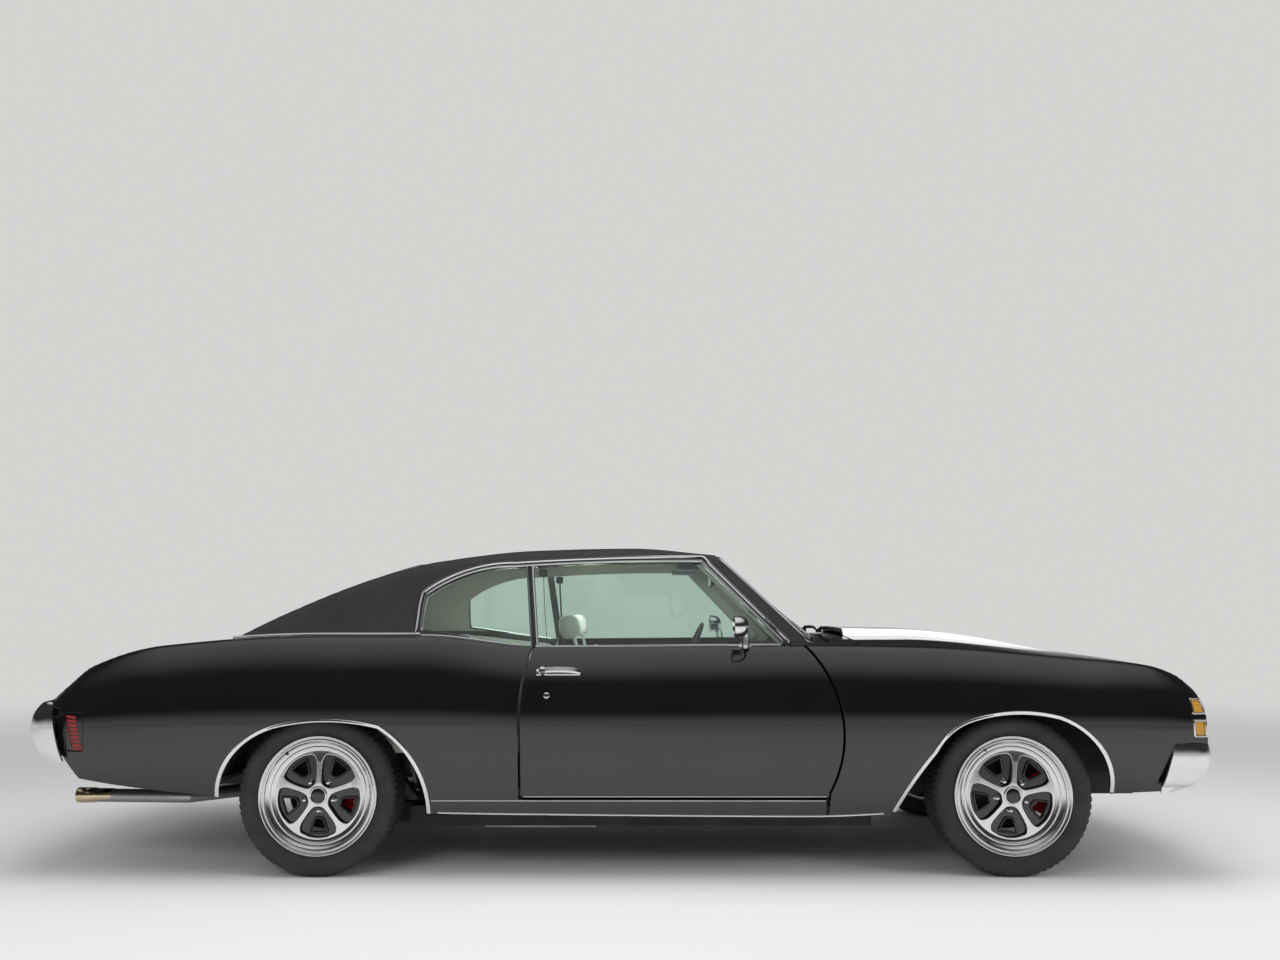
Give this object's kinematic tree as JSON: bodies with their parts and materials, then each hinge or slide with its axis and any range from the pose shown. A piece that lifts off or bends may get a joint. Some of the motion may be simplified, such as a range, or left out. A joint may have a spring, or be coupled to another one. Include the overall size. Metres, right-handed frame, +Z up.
{
  "type": "muscle car",
  "caption": "Two-door hardtop muscle car with vinyl roof, long hood and chrome bumpers; doors, hood and trunk lid open, the front wheels steer and all wheels roll.",
  "frame": {"origin": "on the ground midway between the bumper tips, on the centre plane", "axes": "+X to the front, +Y to the car's left, +Z up"},
  "size_m": [5.0156, 1.91, 1.3757],
  "materials": {
    "paint": "gloss",
    "vinyl_top": "satin",
    "chrome": "polished",
    "glass": "polished",
    "amber_lens": "ribbed",
    "red_lens": "ribbed",
    "clear_lens": "fluted",
    "trim_black": "satin",
    "chassis_black": "satin",
    "carpet": "woven",
    "seat_vinyl": "grained",
    "alloy": "polished",
    "tyre_rubber": "matte",
    "axle_iron": "satin",
    "steel": "satin"
  },
  "bodies": {
    "body": {"corner_lamps": "amber_lens", "cowl": "paint", "dashboard": "trim_black", "door_hinges": "steel", "driveline": "axle_iron", "engine": "axle_iron", "exhaust": "steel", "floor_pan": "carpet", "frame": "chassis_black", "front_bumper": "chrome", "front_fenders": "paint", "front_seats": "seat_vinyl", "fuel_tank": "steel", "grille": "trim_black", "headlamps": "clear_lens", "inner_fenders": "chassis_black", "quarter_glass": "glass", "quarter_panels": "paint", "rear_axle": "axle_iron", "rear_bumper": "chrome", "rear_floor": "carpet", "rear_markers": "red_lens", "rear_seat": "seat_vinyl", "rear_window": "glass", "roof": "vinyl_top", "suspension": "chassis_black", "tail_lamps": "red_lens", "tail_pipes": "steel", "tunnel": "carpet", "windshield": "glass"},
    "door_left": {"door_left": "paint", "door_glass_left": "glass", "mirror_left": "chrome"},
    "door_right": {"door_right": "paint", "door_glass_right": "glass", "mirror_right": "chrome"},
    "hood": {"hood": "paint"},
    "deck_lid": {"deck_lid": "paint"},
    "steering_wheel": {"steering_wheel": "trim_black"},
    "knuckle_left": {"knuckle_left": "axle_iron"},
    "knuckle_right": {"knuckle_right": "axle_iron"},
    "tie_rod": {"tie_rod": "steel"},
    "wheel_front_left": {"tyre_front_left": "tyre_rubber", "wheel_front_left": "alloy"},
    "wheel_front_right": {"tyre_front_right": "tyre_rubber", "wheel_front_right": "alloy"},
    "wheel_rear_left": {"tyre_rear_left": "tyre_rubber", "wheel_rear_left": "alloy"},
    "wheel_rear_right": {"tyre_rear_right": "tyre_rubber", "wheel_rear_right": "alloy"}
  },
  "joints": [
    {"name": "door_left_hinge", "type": "hinge", "parent": "body", "child": "door_left", "pos_m": [0.855, 0.912, 0.565], "axis": [0, 0, -1], "range_deg": [0, 60]},
    {"name": "door_right_hinge", "type": "hinge", "parent": "body", "child": "door_right", "pos_m": [0.855, -0.912, 0.565], "axis": [0, 0, 1], "range_deg": [0, 60]},
    {"name": "hood_hinge", "type": "hinge", "parent": "body", "child": "hood", "pos_m": [1.006, 0, 1.017], "axis": [0, -1, 0], "range_deg": [0, 48]},
    {"name": "deck_lid_hinge", "type": "hinge", "parent": "body", "child": "deck_lid", "pos_m": [-1.647, 0, 0.975], "axis": [0, 1, 0], "range_deg": [0, 60]},
    {"name": "steer_right", "type": "hinge", "parent": "body", "child": "knuckle_right", "pos_m": [1.608, -0.69, 0.325], "axis": [0, 0, 1], "range_deg": [-30, 30]},
    {"name": "steer_left", "type": "hinge", "parent": "body", "child": "knuckle_left", "pos_m": [1.608, 0.69, 0.325], "axis": [0, 0, 1], "range_deg": [-30, 30]},
    {"name": "tie_rod_hinge", "type": "hinge", "parent": "knuckle_right", "child": "tie_rod", "pos_m": [1.483, -0.69, 0.226], "axis": [0, 0, 1], "range_deg": [-30, 30]},
    {"name": "steering_wheel_turn", "type": "hinge", "parent": "body", "child": "steering_wheel", "pos_m": [0.33, 0.385, 0.85], "axis": [-0.9135, 0, 0.4067], "range_deg": [-480, 480]},
    {"name": "spin_front_left", "type": "hinge", "parent": "knuckle_left", "child": "wheel_front_left", "pos_m": [1.608, 0.7625, 0.325], "axis": [0, 1, 0], "continuous": true},
    {"name": "spin_front_right", "type": "hinge", "parent": "knuckle_right", "child": "wheel_front_right", "pos_m": [1.608, -0.7625, 0.325], "axis": [0, 1, 0], "continuous": true},
    {"name": "spin_rear_left", "type": "hinge", "parent": "body", "child": "wheel_rear_left", "pos_m": [-1.237, 0.7625, 0.325], "axis": [0, 1, 0], "continuous": true},
    {"name": "spin_rear_right", "type": "hinge", "parent": "body", "child": "wheel_rear_right", "pos_m": [-1.237, -0.7625, 0.325], "axis": [0, 1, 0], "continuous": true}
  ],
  "couplings": [
    {"joint": "steer_left", "follows": "steer_right", "ratio": 1},
    {"joint": "tie_rod_hinge", "follows": "steer_right", "ratio": -1},
    {"joint": "steering_wheel_turn", "follows": "steer_right", "ratio": 16}
  ]
}
